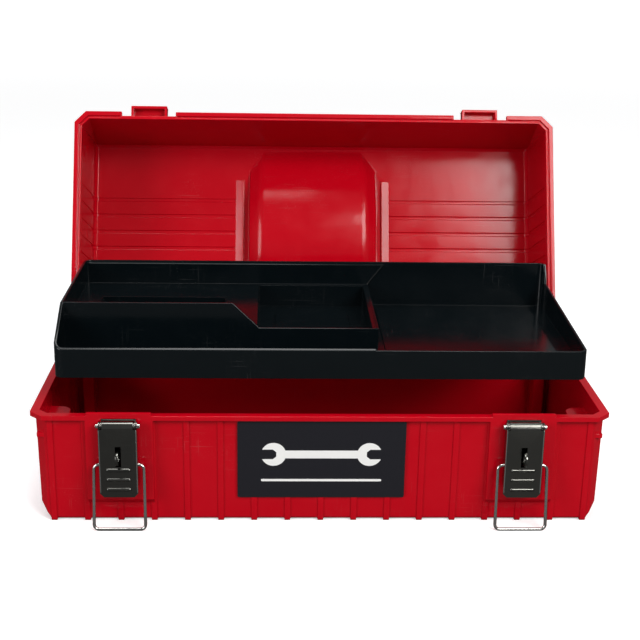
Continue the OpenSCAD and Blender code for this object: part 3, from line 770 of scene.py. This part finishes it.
class TOOLBOX_OT_handle(PieceOperator, bpy.types.Operator):
    """Rounds the folding handle and slips a waved sleeve over its grip"""

    bl_idname = "toolbox.handle"
    bl_label = "Handle"

    def make(self, scene):
        sizes = scene.toolbox_pieces
        handle = frame["nodes"]["carry_handle"]
        dress(soften(handle, scene.toolbox_finish.handle_round, 3), "grip_moulding")
        low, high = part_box("carry_handle")
        grip_r, arm_w, taper, skin = 6.5 * MM, 7.5 * MM, 1.5 * MM, 0.1 * MM
        waves = 4
        grip = Vector((0, high.y - grip_r, high.z - grip_r))
        half = high.x - arm_w
        x = np.linspace(-half, half, 121)
        wave = sizes.sleeve_wave * np.cos(math.pi * waves * x / half)
        edge = np.clip((half - np.abs(x)) / taper, 0, 1)
        radius = (grip_r - skin) + (sizes.sleeve_radius - grip_r + wave) * np.sin(edge * math.pi / 2)
        profile = np.column_stack([x, radius])
        profile = np.concatenate([[[-half, 0]], profile, [[half, 0]]])
        add_piece(turned("grip_sleeve", profile, grip), "handle", "grip_moulding", "handle_plastic")


# name, place, aim, width, height, watts, tint
LIGHTS = [
    ("key", (0.80, -1.10, 1.05), (0.02, 0.0, 0.10), 0.9, 0.8, 23, (1.0, 0.99, 0.97)),
    ("overhead", (-0.05, 0.10, 1.45), (0.0, 0.08, 0.08), 1.3, 0.6, 12, (1.0, 1.0, 1.0)),
    ("fill", (-1.20, -0.95, 0.60), (0.0, 0.0, 0.10), 0.6, 0.9, 12, (0.97, 0.98, 1.0)),
]


class TOOLBOX_OT_stage(PieceOperator, bpy.types.Operator):
    """Sets the pale floor, the soft lights and the camera"""

    bl_idname = "toolbox.stage"
    bl_label = "Stage"

    def make(self, scene):
        stage = scene.toolbox_stage
        half = 8.0
        corners = [(-half, -half, 0), (half, -half, 0), (half, half, 0), (-half, half, 0)]
        floor = mesh_object("studio_floor", corners, [(0, 1, 2, 3)], smooth=False)
        material, tree, shader, place = new_material("studio_floor")
        tone = use_group(tree, tone_drift_group, place, Colour=(*stage.floor_tone, 1.0), Drift=0.01)
        path = tree.nodes.new("ShaderNodeLightPath")
        seen, mirrored = path.outputs["Is Camera Ray"], path.outputs["Is Glossy Ray"]
        quiet = tuple(stage.floor_bounce * c for c in stage.floor_tone) + (1.0,)
        dark = tuple(stage.floor_mirror * c for c in stage.floor_tone) + (1.0,)
        unseen = mix_colour(tree, mirrored, quiet, dark)
        tree.links.new(mix_colour(tree, seen, unseen, tone.outputs["Colour"]), shader.inputs["Base Color"])
        shader.inputs["Emission Color"].default_value = (1.0, 1.0, 1.0, 1.0)
        away = tree.nodes.new("ShaderNodeVectorMath")
        away.operation = "LENGTH"
        tree.links.new(place, away.inputs[0])
        outward = maths(tree, "MULTIPLY", away.outputs["Value"], stage.floor_fade)
        lift = maths(tree, "ADD", outward, stage.floor_glow)
        tree.links.new(maths(tree, "MULTIPLY", seen, lift), shader.inputs["Emission Strength"])
        shader.inputs["Roughness"].default_value = 0.75
        shader.inputs["Specular IOR Level"].default_value = 0.2
        floor.data.materials.append(material)
        self.surroundings(scene, stage)
        for name, place, aim, width, height, power, tint in LIGHTS:
            self.softbox(name, place, aim, width, height, power, tint)
        self.camera(scene, stage)

    def surroundings(self, scene, stage):
        """A world that is white to the camera and a soft grey light to everything else."""
        world = bpy.data.worlds.new("studio")
        world.use_nodes = True
        tree = world.node_tree
        soft = tree.nodes["Background"]
        soft.inputs["Color"].default_value = (*stage.sky_tone, 1.0)
        soft.inputs["Strength"].default_value = stage.sky_strength
        seen = tree.nodes.new("ShaderNodeBackground")
        seen.inputs["Color"].default_value = (1.0, 1.0, 1.0, 1.0)
        pick = tree.nodes.new("ShaderNodeMixShader")
        path = tree.nodes.new("ShaderNodeLightPath")
        tree.links.new(path.outputs["Is Camera Ray"], pick.inputs[0])
        tree.links.new(soft.outputs[0], pick.inputs[1])
        tree.links.new(seen.outputs[0], pick.inputs[2])
        tree.links.new(pick.outputs[0], tree.nodes["World Output"].inputs["Surface"])
        scene.world = world

    def softbox(self, name, place, aim, width, height, power, tint):
        """One area light at a place, turned to its aim."""
        light = bpy.data.lights.new(name, "AREA")
        light.shape = "RECTANGLE"
        light.size, light.size_y = width, height
        light.energy = power
        light.color = tint
        box = bpy.data.objects.new(name, light)
        box.location = place
        box.rotation_euler = (Vector(aim) - Vector(place)).to_track_quat("-Z", "Y").to_euler()
        bpy.context.scene.collection.objects.link(box)

    def camera(self, scene, stage):
        """The camera, looking along +Y turned right, tilted down and leaned by the stage's angles."""
        down, turn, roll = stage.camera_down, stage.camera_turn, stage.camera_roll
        ahead = Vector((math.sin(turn) * math.cos(down), math.cos(turn) * math.cos(down), -math.sin(down)))
        right = Vector((math.cos(turn), -math.sin(turn), 0))
        up = right.cross(ahead)
        lean_right = math.cos(roll) * right + math.sin(roll) * up
        lean_up = math.cos(roll) * up - math.sin(roll) * right
        axes = Matrix((lean_right, lean_up, -ahead)).transposed().to_4x4()
        data = bpy.data.cameras.new("camera")
        data.lens = stage.camera_lens
        data.sensor_width = 36
        camera = bpy.data.objects.new("camera", data)
        camera.matrix_world = Matrix.Translation(stage.camera_place) @ axes
        scene.collection.objects.link(camera)
        scene.camera = camera


class TOOLBOX_PT_sidebar(bpy.types.Panel):
    """Sizes, colours and makers of the toolbox"""

    bl_label = "Toolbox with tray"
    bl_space_type = "VIEW_3D"
    bl_region_type = "UI"
    bl_category = "Toolbox"

    def draw(self, context):
        for label, group in GROUPS.items():
            box = self.layout.box()
            for name in group.__annotations__:
                box.prop(getattr(context.scene, label), name)
        for maker in MAKERS:
            self.layout.operator(maker.bl_idname)


MAKERS = (
    TOOLBOX_OT_stage, TOOLBOX_OT_shells, TOOLBOX_OT_tray, TOOLBOX_OT_latches, TOOLBOX_OT_bails,
    TOOLBOX_OT_label, TOOLBOX_OT_handle,
)
GROUPS = {"toolbox_finish": ToolboxFinish, "toolbox_pieces": ToolboxPieces, "toolbox_stage": ToolboxStage}


def register():
    """Registers the groups, makers and panel."""
    for name, group in GROUPS.items():
        bpy.utils.register_class(group)
        setattr(bpy.types.Scene, name, bpy.props.PointerProperty(type=group))
    for maker in (*MAKERS, TOOLBOX_PT_sidebar):
        bpy.utils.register_class(maker)


def unregister():
    """Takes them away again."""
    for maker in (TOOLBOX_PT_sidebar, *reversed(MAKERS)):
        bpy.utils.unregister_class(maker)
    for name, group in reversed(GROUPS.items()):
        delattr(bpy.types.Scene, name)
        bpy.utils.unregister_class(group)


def main():
    """Makes everything in order."""
    register()
    bpy.context.scene.view_settings.view_transform = "Standard"
    for maker in MAKERS:
        family, name = maker.bl_idname.split(".")
        getattr(getattr(bpy.ops, family), name)()


if __name__ == "__main__":
    main()
